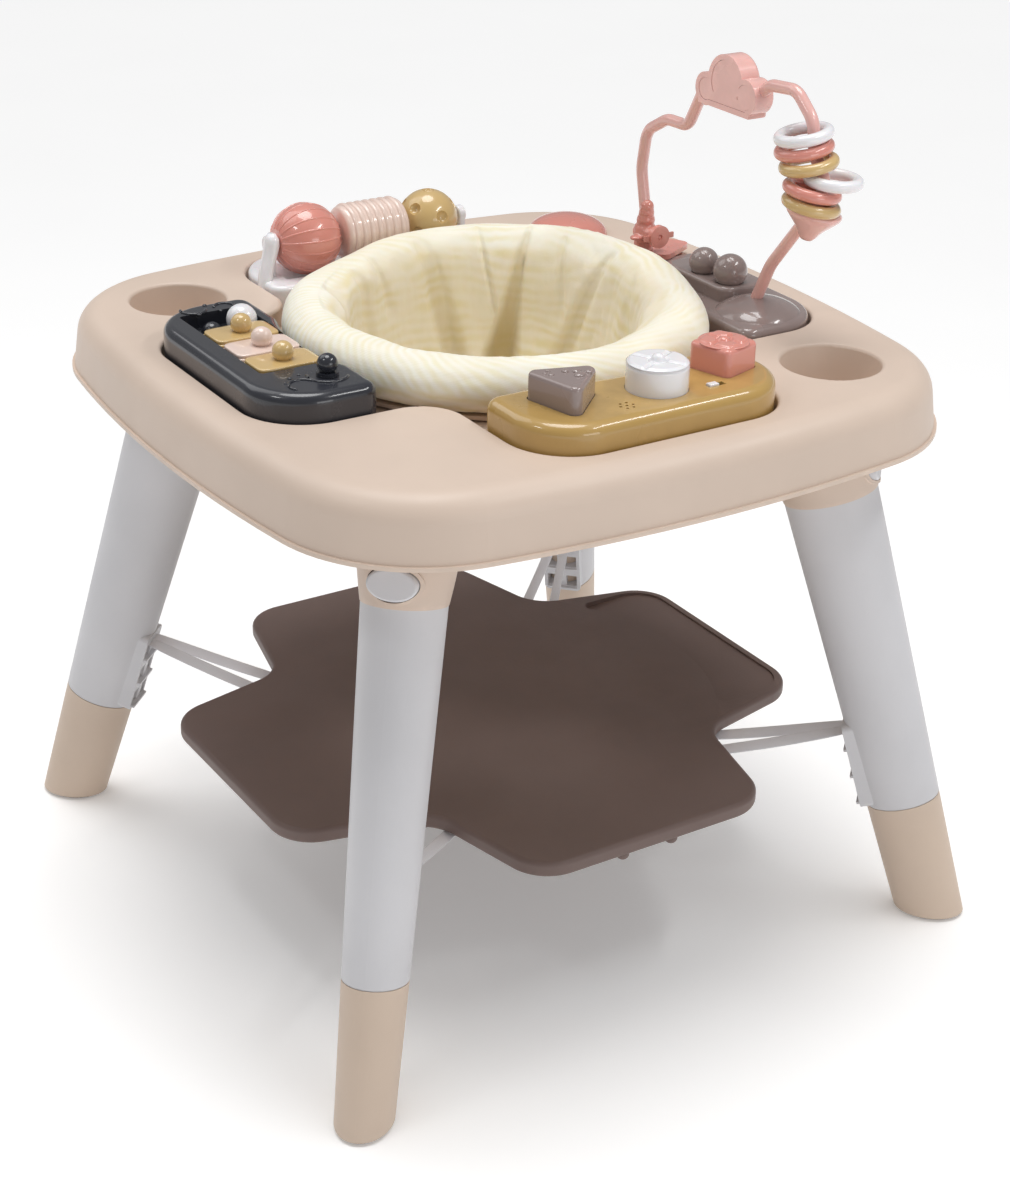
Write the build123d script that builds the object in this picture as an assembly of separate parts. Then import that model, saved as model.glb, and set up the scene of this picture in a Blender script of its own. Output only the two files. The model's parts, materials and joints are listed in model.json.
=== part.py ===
from build123d import *
import os
from math import atan2, cos, degrees, hypot, pi, radians, sin, sqrt

# Activity jumper: a four-legged play table with a swivel fabric seat in the middle,
# four toys in bays around it, and a bouncing foot platform hung on elastic straps.
# Millimetres, +Z up, origin on the floor at the middle of the four feet.
# Compass names: W = -X (piano), S = -Y (music panel), E = +X (slide and arch), N = +Y (rollers).

# ---------------------------------------------------------------- driving dimensions
TRAY_HALF = 330.0        # half the tray's width, at the middle of a side
TRAY_CORNER = 135.0      # corner radius in plan
SIDE_BULGE = 13.0        # how far each side bows out
LIP_Z = 488.0            # bottom of the tray's skirt
TRAY_TOP = 543.4         # flat top of the tray
TRAY_DRAFT = 8.0         # degrees
TOP_ROUND = 24.0         # radius where the skirt turns into the top
WALL = 3.0

BAY_REACH = 283.5        # bay end wall, from the centre
BAY_HALF = 127.5         # half the length of a bay
BAY_CORNER = 56.0
TONGUE_ROUND = 40.0      # radius of the four tongues of tray between the bays
WELL_FLOOR = 525.0
SEAT_HOLE_R = 160.0

CUP_R = 44.4
CUP_DEPTH = 38.0
CUP_RADIUS_OUT = 299.0   # distance of a cup's centre from the seat's centre
BOSS_R = 50.0            # corner boss that takes a leg collar
BOSS_Z = 498.0

FOOT_RADIUS_OUT = 438.0  # leg axis at the floor
COLLAR_RADIUS_OUT = 308.8
COLLAR_Z = 420.6         # bottom of the collar
FOOT_TOP_Z = 119.2       # top of the coloured foot sleeve
LEG_RADIAL = (31.5, 42.5)      # half widths of the oval leg at the floor and at the collar
LEG_TANGENT = (25.0, 35.0)
HOOK_Z = (136.0, 163.0, 190.0)
LATCH_Z = 440.0           # latch button's centre before the leg's tilt
SPIGOT_TOP = 232.0       # the foot sleeve's spigot ends here, measured along the leg

PLATFORM_TOP = 168.0
PLATFORM_THICK = 15.0
LOBE_REACH = 280.0
LOBE_HALF = 122.0
LOBE_CORNER = 42.0
NOTCH_ROUND = 40.0
NOTCH_R = 214.0
DIP_DEPTH = 5.0
DIP_SLOPE = 2.6
DIP_R = 221.0            # inner edge of the shallow dip on the east lobe

TOY_REACH = 281.0        # outer edge of a toy, from the centre
TOY_INNER = 182.0
TOY_HALF = 125.0
TOY_CORNER = 54.0
TOY_TOP = 566.0
SEAT_CLEAR_R = 194.0     # the toys' inner edges curve round the seat at this radius
# turn of each bay about Z, and how far the bay is set along its side
BAYS = {"piano": (180, -6.0), "music": (270, -2.5), "slide": (0, -4.0), "roller": (90, 1.0)}

SEAT_RIM_R = 162.0
SEAT_RIM_Z = 562.0
SEAT_RIM_HALF = (27.0, 25.0)
SEAT_BOTTOM = 372.0

AXLE_Y = 225.0
AXLE_Z = 576.0
AXLE_R = 3.0
ARCH_X = 228.0
ARCH_TUBE_R = 5.6
RING_MAJOR = 21.3
RING_MINOR = 5.35
CORNERS = {"sw": 225, "se": 315, "ne": 45, "nw": 135}

LEG_HOLE_R = 40.0

KEY_PITCH = 39.0
KEY_FIRST_Y = 46.0
KEY_OUTER = -257.0
KEY_INNER = -198.0
KEY_LENGTH = KEY_INNER - KEY_OUTER
KEY_BED = 553.0          # floor of the key trough
KEY_TOP = 564.0
PIANO_KNOB_XY = (-212.0, -81.0)
LIGHT_XY = (-211.0, 79.0)
LIGHT_R = 13.5
CONTACT_XY = (-234.0, 91.0)

BUTTON_TOP = 589.0
TRIANGLE_R = 38.0
TRIANGLE_XY = (-75.0, -226.0)
ROUND_R = 26.0
ROUND_XY = (7.0, -236.0)
SQUARE_SIDE = 42.0
SQUARE_XY = (83.0, -223.0)
SWITCH_XY = (53.0, -254.0)
SPEAKER_XY = (-37.0, -257.0)
BATTERY_XY = (20.0, -236.0)

ROLLER_ENDS = (-110.5, 97.0)      # the two brackets' places along the axle
BALL_R = 33.5
BALL_X = -72.0
DRUM_R = 27.5
DRUM_LENGTH = 66.0
DRUM_X = -4.0
CHEESE_R = 29.0
CHEESE_X = 62.0

# the arch's centre line, from the plane's socket over the cloud and down to the dome: (y, z)
ARCH_ROUTE = ((93, 587), (104, 634), (98, 672), (66, 690), (34, 691), (14, 728), (-8, 734), (-60, 738), (-84, 754),
              (-118, 757), (-143, 736), (-148, 708), (-164, 690), (-160, 666), (-138, 643), (-100, 596), (-76, 545))
ARCH_ROUNDS = (40, 22, 28, 14, 10, 12, 12, 18, 20, 24, 18, 18, 20, 30, 60)
CLOUD_LOBES = ((-31, 746, 25), (-3, 735, 15), (-60, 739, 16))
CLOUD_FOOT = (721, 740)
RING_TURN = 57.4          # the rings' tilts are about an axis turned this far from X
STOP = (227.0, -152.0, 650.9)
STOP_TILT = 11.2
# the six rings threaded on the arch, top to bottom: (x, y, z, tilt)
RINGS = (
    (223.8, -136.5, 723.2, -11.5),
    (223.5, -138.8, 711.5, -11.5),
    (222.8, -147.5, 700.4, -11.5),
    (237.0, -164.8, 688.4, 4.0),
    (222.1, -155.3, 678.9, 11.2),
    (221.2, -156.5, 667.0, 11.2),
)
TRACK_BALLS = ((226.0, -5.0, 14.0), (229.0, -41.0, 16.0))
LEDGE_TOP = WELL_FLOOR + 38
PLATE_XY = (252.0, 100.0)
PLATE_TURN = 29.0
PLANE_YZ = (95.0, 573.0)
SPINNER_XY = (214.0, 207.0)

LEG_TILT = degrees(atan2(FOOT_RADIUS_OUT - COLLAR_RADIUS_OUT, COLLAR_Z))
ALONG = 1.0 / cos(radians(LEG_TILT))     # length along a leg for each unit of height
PARTS = {}


# ---------------------------------------------------------------- helpers
def turned(angle):
    return Rot(0, 0, angle)


def lifted(z):
    return Pos(0, 0, z)


def tray_outline(inset):
    """Rounded square with bowed sides, drawn as eight tangent arcs."""
    chord = TRAY_HALF - TRAY_CORNER
    side_r = (chord ** 2 + SIDE_BULGE ** 2) / (2 * SIDE_BULGE)
    side_x = TRAY_HALF - side_r
    reach = side_r - TRAY_CORNER
    corner_xy = (side_x + sqrt(2 * reach ** 2 - side_x ** 2)) / 2
    swing = degrees(atan2(corner_xy, corner_xy - side_x))
    edges = []
    for turn in (0, 90, 180, 270):
        side = CenterArc((side_x, 0), side_r - inset, -swing, 2 * swing)
        corner = CenterArc((corner_xy, corner_xy), TRAY_CORNER - inset, swing, 90 - 2 * swing)
        edges.append(turned(turn) * side)
        edges.append(turned(turn) * corner)
    return make_face(Wire(edges))


def bay_profile(grow):
    """Plan of the recessed cross: four bays that open into the seat well."""
    cross = None
    for turn, shift in BAYS.values():
        arm = Pos(BAY_REACH / 2, shift) * Rectangle(BAY_REACH, 2 * BAY_HALF)
        arm = turned(turn) * arm
        cross = arm if cross is None else cross + arm
    corners = cross.vertices().sort_by(lambda v: hypot(v.X, v.Y))
    cross = fillet(corners[-8:], BAY_CORNER)
    inner = cross.vertices().sort_by(lambda v: hypot(v.X, v.Y))[:4]
    cross = fillet(inner, TONGUE_ROUND)
    return offset(cross, grow) if grow else cross


def toy_outline(name, inset):
    turn, shift = BAYS[name]
    width = TOY_REACH - TOY_INNER
    plan = Pos((TOY_REACH + TOY_INNER) / 2, shift) * Rectangle(width, 2 * TOY_HALF)
    ends = plan.vertices().sort_by(Axis.X)
    plan = fillet(ends[-2:], TOY_CORNER)
    plan = fillet(plan.vertices().sort_by(Axis.X)[:2], 14)
    plan = plan - Circle(SEAT_CLEAR_R)
    plan = turned(turn) * plan
    return offset(plan, -inset) if inset else plan


def toy_block(name, low, high, edge_round):
    block = lifted(low) * extrude(toy_outline(name, 0), high - low)
    return fillet(block.faces().sort_by(Axis.Z)[-1].edges(), edge_round)


def leg_frame(angle):
    """Places a leg's own frame: z up the leg, x outwards, y along the tangent."""
    return Rot(0, 0, angle) * Pos(FOOT_RADIUS_OUT, 0, 0) * Rot(0, -LEG_TILT, 0)


def leg_section(z, shrink):
    share = z / (COLLAR_Z * ALONG)
    radial = LEG_RADIAL[0] + share * (LEG_RADIAL[1] - LEG_RADIAL[0]) - shrink
    tangent = LEG_TANGENT[0] + share * (LEG_TANGENT[1] - LEG_TANGENT[0]) - shrink
    return lifted(z) * Ellipse(radial, tangent)


def leg_loft(low, high, shrink):
    return loft([leg_section(low, shrink), leg_section(high, shrink)])


def ellipsoid(centre, half):
    shape = Sphere(1)
    return Pos(*centre) * scale(shape, by=half)


# ---------------------------------------------------------------- tray
def make_tray():
    height = TRAY_TOP - LIP_Z
    block = lifted(LIP_Z) * extrude(tray_outline(0), height, taper=TRAY_DRAFT)
    block = fillet(block.faces().sort_by(Axis.Z)[-1].edges(), TOP_ROUND)
    block -= lifted(WELL_FLOOR) * extrude(bay_profile(0), height)
    for corner in ("se", "nw"):
        cup = Cone(CUP_R - 6, CUP_R, CUP_DEPTH, align=(Align.CENTER, Align.CENTER, Align.MIN))
        cup = fillet(cup.faces().sort_by(Axis.Z)[0].edges(), 8)
        block -= turned(CORNERS[corner]) * Pos(CUP_RADIUS_OUT, 0, TRAY_TOP - CUP_DEPTH) * cup
    rims = block.faces().sort_by(Axis.Z)[-1].inner_wires()
    block = fillet([edge for wire in rims for edge in wire.edges()], 3.5)
    hollow = lifted(LIP_Z) * extrude(tray_outline(WALL), height - WALL, taper=TRAY_DRAFT)
    hollow = fillet(hollow.faces().sort_by(Axis.Z)[-1].edges(), TOP_ROUND - WALL)
    hollow -= lifted(WELL_FLOOR - WALL) * extrude(bay_profile(WALL), height)
    for angle in CORNERS.values():
        boss = Cylinder(BOSS_R, height, align=(Align.CENTER, Align.CENTER, Align.MIN))
        hollow -= turned(angle) * Pos(CUP_RADIUS_OUT - 4, 0, BOSS_Z) * boss
    shell = block - hollow
    for corner in ("sw", "ne"):
        bore = Cylinder(BOSS_R - 4, TRAY_TOP - WALL - BOSS_Z, align=(Align.CENTER, Align.CENTER, Align.MIN))
        shell -= turned(CORNERS[corner]) * Pos(CUP_RADIUS_OUT - 4, 0, BOSS_Z) * bore
    shell -= lifted(LIP_Z) * Cylinder(SEAT_HOLE_R, 200)
    bead = extrude(tray_outline(-1.8), 3.6) - extrude(tray_outline(WALL), 3.6)
    shell += lifted(LIP_Z) * bead
    PARTS["tray_shell"] = shell


def ring_of(points):
    """Solid of revolution about Z from a closed outline in the XZ plane."""
    outline = Polyline(*[(x, 0, z) for x, z in points], close=True)
    return revolve(make_face(outline), Axis.Z, 360)


def make_bearing():
    ledge = [(151, 507), (162, 507), (162, 517), (184, 517), (184, 521.8), (158.5, 521.8), (158.5, 511), (151, 511)]
    PARTS["seat_bearing_ring"] = ring_of(ledge)


# ---------------------------------------------------------------- legs
def make_hook_plate():
    """Raised pad on a leg's inner face, with two columns of square strap holes."""
    low = (HOOK_Z[0] - 14) * ALONG
    high = (HOOK_Z[-1] + 15) * ALONG
    pad = Pos(-30, 0, (low + high) / 2) * Box(15, 40, high - low)
    pad = fillet(pad.edges().filter_by(Axis.X), 5)
    for z in HOOK_Z:
        ledge = Pos(-38, 0, (z - 9.5) * ALONG) * Box(6, 34, 3)
        pad += fillet(ledge.edges().filter_by(Axis.X), 1.2)
    return pad


def make_leg(corner, angle):
    place = leg_frame(angle)
    foot_top = FOOT_TOP_Z * ALONG
    tube_top = COLLAR_Z * ALONG
    ground = Pos(0, 0, 500) * Box(2000, 2000, 1000)

    foot = leg_loft(-20, foot_top, 0) - leg_loft(20, foot_top - 4, WALL)
    foot += leg_loft(foot_top - 4, SPIGOT_TOP, WALL + 0.3)
    foot -= leg_loft(foot_top - 6, SPIGOT_TOP, 2 * WALL)
    PARTS["leg_foot_" + corner] = (place * foot) & Pos(0, 0, 3) * ground

    tube = leg_loft(foot_top, tube_top, 0) + make_hook_plate()
    tube -= leg_loft(foot_top, tube_top, WALL)
    tube -= leg_loft(foot_top - 1, foot_top + 1.2, -4) - leg_loft(foot_top - 1, foot_top + 1.2, 0.9)
    for z in HOOK_Z:
        for side in (-10.5, 10.5):
            tube -= Pos(-38, side, z * ALONG) * Box(26, 11.5, 15)
    PARTS["leg_tube_" + corner] = place * tube

    collar_top = (BOSS_Z + 25) * ALONG
    lip = (LIP_Z + 2) * ALONG
    flare = [leg_section(tube_top, -0.6), lifted(lip) * Ellipse(51, 44.5), lifted(collar_top) * Ellipse(52, 46)]
    bore = [leg_section(tube_top, 3), lifted(lip) * Ellipse(47, 40.5), lifted(collar_top) * Ellipse(48, 42)]
    collar = loft(flare) - loft(bore)
    latch_z = LATCH_Z * ALONG
    rim = Pos(43, 0, latch_z) * Rot(0, 96, 0) * extrude(Ellipse(17.2, 24.4), 9, both=True)
    pocket = Pos(43, 0, latch_z) * Rot(0, 96, 0) * extrude(Ellipse(14.6, 21.6), 40, both=True)
    collar += rim & (loft(flare) + Pos(2.2, 0, 0) * loft(flare)) - loft(bore)
    collar -= pocket & Pos(40, 0, latch_z) * Box(60, 80, 80)
    PARTS["leg_collar_" + corner] = (place * collar) & Pos(0, 0, BOSS_Z - 0.1 - 500) * Box(2000, 2000, 1000)

    latch = Pos(40.6, 0, latch_z) * Rot(0, 96, 0) * extrude(Ellipse(13.9, 20.9), 7.5, both=True)
    latch = fillet(latch.faces().sort_by(Axis.X)[-1].edges(), 2.5)
    PARTS["latch_button_" + corner] = place * latch


def make_foot_pads():
    pads = []
    for angle in CORNERS.values():
        sole = leg_frame(angle) * leg_loft(-20, 40, 4)
        pads.append(sole & Pos(0, 0, 1.5) * Box(2000, 2000, 3))
    PARTS["foot_pads"] = Compound(children=[pad.solid() for pad in pads])


# ---------------------------------------------------------------- seat
def make_seat():
    """The swivel ring with its fabric: a padded rim and a bucket with two leg holes."""
    wall = [(150, 511.4), (157, 511.4), (157, 527), (178, 527), (178, 530.5), (157, 530.5), (157, 562), (150, 562)]
    ring = ring_of(wall)
    PARTS["seat_ring"] = ring
    section = Plane.XZ * Pos(SEAT_RIM_R, SEAT_RIM_Z) * Ellipse(*SEAT_RIM_HALF)
    PARTS["seat_rim_pad"] = revolve(section, Axis.Z, 360) - ring
    outer = [(149.4, 537), (147, 500), (136, 452), (112, 408), (74, 382), (30, SEAT_BOTTOM)]
    inner = [(30, SEAT_BOTTOM + 5), (72, 387), (108, 412), (131, 454), (142, 500), (144.4, 537)]
    bucket = ring_of([(0, SEAT_BOTTOM)] + outer[::-1] + inner[::-1] + [(0, SEAT_BOTTOM + 5)])
    for turn in (180, 270):
        leg_hole = Pos(110, 0, 412) * Rot(0, 90, 0) * Cylinder(LEG_HOLE_R, 120)
        bucket -= turned(turn) * leg_hole
    PARTS["seat_bucket"] = bucket


# ---------------------------------------------------------------- foot platform
def platform_plan(grow):
    notch = NOTCH_R / sqrt(2)
    points = []
    for turn in (0, 90, 180, 270):
        for x, y in ((LOBE_REACH, -LOBE_HALF), (LOBE_REACH, LOBE_HALF), (notch, notch)):
            spot = Vector(x, y).rotate(Axis.Z, turn)
            points.append((spot.X, spot.Y))
    plan = make_face(Polyline(*points, close=True))
    corners = plan.vertices().sort_by(lambda v: hypot(v.X, v.Y))
    plan = fillet(corners[-8:], LOBE_CORNER)
    notches = plan.vertices().sort_by(lambda v: hypot(v.X, v.Y))[:4]
    plan = fillet(notches, NOTCH_ROUND)
    return offset(plan, grow) if grow else plan


def make_platform():
    low = PLATFORM_TOP - PLATFORM_THICK
    board = lifted(low) * extrude(platform_plan(0), PLATFORM_THICK)
    board = fillet(board.faces().sort_by(Axis.Z)[-1].edges(), 4.5)
    board = fillet(board.faces().sort_by(Axis.Z)[0].edges(), 4.5)
    dip = platform_plan(-9) & (Pos(LOBE_REACH, 0) * Rectangle(LOBE_REACH, 2 * LOBE_HALF))
    dip -= Circle(DIP_R)
    ends = dip.vertices().sort_by(lambda v: hypot(v.X, v.Y))[:2]
    scoop = lifted(PLATFORM_TOP - 10) * extrude(fillet(ends, 8), 20)
    ramp = Pos(DIP_R - 14, 0, PLATFORM_TOP - DIP_DEPTH) * Rot(0, -DIP_SLOPE, 0) * Pos(60, 0, 20) * Box(180, 400, 40)
    board -= scoop & ramp
    cavity = lifted(low - 1) * extrude(platform_plan(-4), PLATFORM_THICK - 4 + 1)
    for turn in (0, 45, 90, 135):
        cavity -= turned(turn) * Pos(0, 0, low + 6) * Box(800, 3, 12)
    cavity -= Pos(0, 0, low + 6) * (Cylinder(120, 12) - Cylinder(117, 12))
    cavity -= Pos(LOBE_REACH - 40, 0, low + 10) * Box(110, 2 * LOBE_HALF + 20, 10)
    board -= cavity
    for turn in (180, 270):
        for y in (-26, 26):
            board += turned(turn) * Pos(LOBE_REACH - 14, y, low + 4) * (Cylinder(6, 20) + lifted(-10) * Sphere(6))
    for angle in CORNERS.values():
        for y in (-17, 17):
            post = Pos(195, y, low + 1) * Box(7, 12, 22)
            shelf = Pos(193, y, low - 11) * Box(14, 16, 4)
            board += turned(angle) * (post + fillet(shelf.edges().filter_by(Axis.Z), 3))
    PARTS["platform_board"] = board


def strap_strand(angle, side):
    """One flat strand from a leg hook down to the platform's shelf, clear of both."""
    hook = Vector(FOOT_RADIUS_OUT - 42, 0, 0)
    slope = (FOOT_RADIUS_OUT - COLLAR_RADIUS_OUT) / COLLAR_Z
    start = Vector(hook.X - slope * HOOK_Z[-1] - 1, side * 5.5, HOOK_Z[-1] - 3)
    end = Vector(203, side * 17, PLATFORM_TOP - PLATFORM_THICK - 8)
    run = end - start
    frame = Plane(origin=start, x_dir=Vector(-run.Y, run.X, 0), z_dir=run)
    return turned(angle) * extrude(frame * Rectangle(9, 1.4), run.length)


def make_straps():
    strands = [strap_strand(angle, side) for angle in CORNERS.values() for side in (-1, 1)]
    PARTS["platform_straps"] = Compound(children=[strand.solid() for strand in strands])


# ---------------------------------------------------------------- piano
def make_piano():
    body = toy_block("piano", WELL_FLOOR + 0.5, TOY_TOP, 9)
    body -= lifted(WELL_FLOOR) * extrude(toy_outline("piano", 3.5), KEY_BED - 3 - WELL_FLOOR)
    bed_x = (KEY_OUTER + KEY_INNER) / 2
    bed_y = (KEY_FIRST_Y - KEY_PITCH) + 0.5 * KEY_PITCH
    bed = Pos(bed_x, bed_y, KEY_BED) * Box(
        KEY_LENGTH + 3, 4 * KEY_PITCH + 3, 40, align=(Align.CENTER, Align.CENTER, Align.MIN)
    )
    body -= fillet(bed.edges().filter_by(Axis.Z), 4)
    knob_seat = Pos(PIANO_KNOB_XY[0], PIANO_KNOB_XY[1], TOY_TOP - 6) * Cylinder(4.3, 20)
    body -= knob_seat
    PARTS["piano_housing"] = body

    for index in range(3):
        y = KEY_FIRST_Y - index * KEY_PITCH
        plate = Pos(bed_x, y, KEY_TOP - 3) * Box(KEY_LENGTH, KEY_PITCH - 2, 6)
        plate = fillet(plate.edges().filter_by(Axis.Z), 5)
        plate = fillet(plate.faces().sort_by(Axis.Z)[-1].edges(), 1.8)
        key = plate + Pos(bed_x, y, KEY_TOP + 1) * Cylinder(7.5, 4)
        key += Pos(bed_x, y, KEY_TOP + 9.5) * Sphere(9.2)
        PARTS["piano_key_" + str(index + 1)] = key

    base = Cylinder(9.5, 3.2, align=(Align.CENTER, Align.CENTER, Align.MIN))
    knob = Pos(0, 0, 0.3) * base + Pos(0, 0, 10) * Sphere(8.8) + Pos(0, 0, -2.2) * Cylinder(4.25, 6)
    PARTS["piano_knob"] = Pos(PIANO_KNOB_XY[0], PIANO_KNOB_XY[1], TOY_TOP) * knob
    bulb = Pos(0, 0, LIGHT_R - 2) * Sphere(LIGHT_R) & Pos(0, 0, 50) * Box(100, 100, 100)
    PARTS["piano_light_ball"] = Pos(LIGHT_XY[0], LIGHT_XY[1], KEY_BED) * bulb
    contact = Sphere(9) & Pos(0, 0, 10) * Box(40, 40, 20)
    PARTS["piano_contact_dome"] = Pos(CONTACT_XY[0], CONTACT_XY[1], KEY_BED) * contact


# ---------------------------------------------------------------- music panel
def triangle_plan(grow):
    return fillet(RegularPolygon(TRIANGLE_R + 2 * grow, 3).vertices(), 7)


def square_plan(grow):
    return fillet(Rectangle(SQUARE_SIDE + 2 * grow, SQUARE_SIDE + 2 * grow).vertices(), 6)


def round_plan(grow):
    return Circle(ROUND_R + grow)


def button_kinds():
    return {
        "triangle_button": (triangle_plan, TRIANGLE_XY, 13),
        "round_button": (round_plan, ROUND_XY, 0),
        "square_button": (square_plan, SQUARE_XY, 17),
    }


def make_music():
    under = TOY_TOP - WALL
    body = toy_block("music", WELL_FLOOR + 0.5, TOY_TOP, 10)
    body -= lifted(WELL_FLOOR) * extrude(toy_outline("music", 4), under - 0.8 - WELL_FLOOR)
    for node, (plan, spot, turn) in button_kinds().items():
        place = Pos(spot[0], spot[1], 0) * turned(turn)
        body -= place * lifted(under - 4) * extrude(plan(0.4), 20)
        cap = lifted(under - 7) * extrude(plan(0), BUTTON_TOP - under + 7)
        cap = fillet(cap.faces().sort_by(Axis.Z)[-1].edges(), 4)
        cap += lifted(under - 7) * extrude(plan(2.2), 3)
        cap -= lifted(under - 8) * extrude(plan(-3), BUTTON_TOP - under + 5)
        PARTS[node] = place * cap
    slot = Pos(SWITCH_XY[0], SWITCH_XY[1], under) * Box(17, 6.4, 20)
    body -= slot
    for turn in range(0, 360, 60):
        body -= Pos(*SPEAKER_XY, under) * turned(turn) * Pos(6, 0) * Cylinder(1.3, 20)
    body -= Pos(*SPEAKER_XY, under) * Cylinder(1.3, 20)
    PARTS["music_housing"] = body

    slider = Pos(SWITCH_XY[0] - 3, SWITCH_XY[1], under + 0.5) * Box(9, 6, 9)
    slider = fillet(slider.faces().sort_by(Axis.Z)[-1].edges(), 1.2)
    slider += Pos(SWITCH_XY[0] - 3, SWITCH_XY[1], under - 3.2) * Box(13, 10, 3)
    PARTS["slide_switch"] = slider

    plate = lifted(WELL_FLOOR + 0.5) * extrude(toy_outline("music", 4.2), 3)
    cover = Pos(BATTERY_XY[0], BATTERY_XY[1], WELL_FLOOR + 2) * Box(84, 52, 3)
    plate -= Pos(BATTERY_XY[0], BATTERY_XY[1], WELL_FLOOR) * Box(84.4, 52.4, 20)
    PARTS["music_base"] = plate
    PARTS["battery_cover"] = fillet(cover.edges().filter_by(Axis.Z), 4)
    speaker = Cylinder(15, 5) + lifted(-5) * Cylinder(9, 5)
    PARTS["music_speaker"] = Pos(*SPEAKER_XY, under - 3.4) * speaker


# ---------------------------------------------------------------- rollers
def make_rollers():
    base = toy_block("roller", WELL_FLOOR + 0.5, WELL_FLOOR + 22, 5)
    middle = sum(ROLLER_ENDS) / 2
    length = ROLLER_ENDS[1] - ROLLER_ENDS[0]
    dish = Pos(middle, AXLE_Y + 1, AXLE_Z) * Rot(0, 90, 0) * Cylinder(BALL_R + 4, length - 14)
    base -= dish
    base -= lifted(WELL_FLOOR) * extrude(toy_outline("roller", 4), 9)
    for end in ROLLER_ENDS:
        arm = Pos(end, AXLE_Y, (AXLE_Z + WELL_FLOOR + 12) / 2) * Box(8, 16, AXLE_Z - WELL_FLOOR - 12)
        arm = fillet(arm.edges().filter_by(Axis.Z), 3)
        head = Pos(end, AXLE_Y, AXLE_Z) * Rot(0, 90, 0) * Cylinder(8.5, 8)
        base += arm + fillet(head.edges(), 2)
    axle = Pos(middle, AXLE_Y, AXLE_Z) * Rot(0, 90, 0) * Cylinder(AXLE_R, length + 4)
    base -= axle
    PARTS["roller_base"] = base
    PARTS["roller_axle"] = axle

    bore = Pos(0, AXLE_Y, AXLE_Z) * Rot(0, 90, 0) * Cylinder(AXLE_R + 0.06, 400)
    ball = Sphere(BALL_R)
    for turn in range(0, 360, 20):
        ridge = Rot(turn, 0, 0) * (Rot(90, 0, 0) * Torus(BALL_R - 0.6, 1.2))
        ball += ridge & Rot(turn, 0, 0) * Pos(0, 0, 50) * Box(200, 200, 100)
    ball &= Box(2 * BALL_R - 5, 100, 100)
    PARTS["ribbed_ball"] = Pos(BALL_X, AXLE_Y, AXLE_Z) * ball - bore

    drum = Rot(0, 90, 0) * Cylinder(DRUM_R - 2, DRUM_LENGTH)
    drum = fillet(drum.edges(), 5)
    for index in range(7):
        x = (index - 3) * DRUM_LENGTH / 8
        drum += Pos(x, 0, 0) * Rot(0, 90, 0) * Torus(DRUM_R - 3, 3)
    PARTS["ribbed_drum"] = Pos(DRUM_X, AXLE_Y, AXLE_Z) * drum - bore

    cheese = Sphere(CHEESE_R) & Box(2 * CHEESE_R - 5, 100, 100)
    for tip, turn in ((0, 0), (0, 72), (0, 144), (0, 216), (0, 288), (48, 36), (48, 108), (48, 180), (48, 252),
                      (48, 324), (-48, 36), (-48, 108), (-48, 180), (-48, 252), (-48, 324)):
        cheese -= Rot(turn, 0, 0) * Rot(0, tip, 0) * Pos(0, 0, CHEESE_R + 2) * Sphere(6.5)
    PARTS["dimpled_ball"] = Pos(CHEESE_X, AXLE_Y, AXLE_Z) * cheese - bore


# ---------------------------------------------------------------- slide base and arch
def arch_path():
    points = [(ARCH_X, y, z) for y, z in ARCH_ROUTE]
    return FilletPolyline(*points, radius=ARCH_ROUNDS)


def cloud_plan(inset):
    """Three lobes on a flat foot, drawn in the arch's own plane as (-y, z)."""
    lobes = Circle(0.01)
    for y, z, radius in CLOUD_LOBES:
        lobes += Pos(-y, z) * Circle(radius - inset)
    low, high = CLOUD_FOOT
    lobes += Pos(30, (low + high) / 2) * Rectangle(74 - 2 * inset, high - low - 2 * inset)
    return lobes.faces().sort_by(SortBy.AREA)[-1]


def facing_seat(plan, x, depth):
    """Stands a (-y, z) plan up in the arch's plane with its front at x, and gives it depth."""
    stand = Plane(origin=(x, 0, 0), x_dir=(0, -1, 0), z_dir=(-1, 0, 0))
    return extrude(stand * plan, -depth)


def make_arch():
    path = arch_path()
    tube = sweep(Plane(origin=path @ 0, z_dir=path % 0) * Circle(ARCH_TUBE_R), path=path)
    cloud = facing_seat(cloud_plan(0), ARCH_X - 11, 22)
    cloud = fillet(cloud.faces().sort_by(Axis.X)[-1].edges(), 4)
    tube += cloud
    tube -= facing_seat(cloud_plan(5), ARCH_X - 12, 3)
    stop = Cone(9, 24, 12) + lifted(7.5) * Cylinder(24, 3)
    tube += Pos(*STOP) * turned(RING_TURN) * Rot(STOP_TILT, 0, 0) * stop
    PARTS["arch_tube"] = tube
    PARTS["cloud_face"] = facing_seat(cloud_plan(5.2), ARCH_X - 10.6, 1.6)

    for index, (x, y, z, tilt) in enumerate(RINGS):
        ring = Pos(x, y, z) * turned(RING_TURN) * Rot(tilt, 0, 0) * Torus(RING_MAJOR, RING_MINOR)
        PARTS["arch_ring_" + str(index + 1)] = ring


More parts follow.
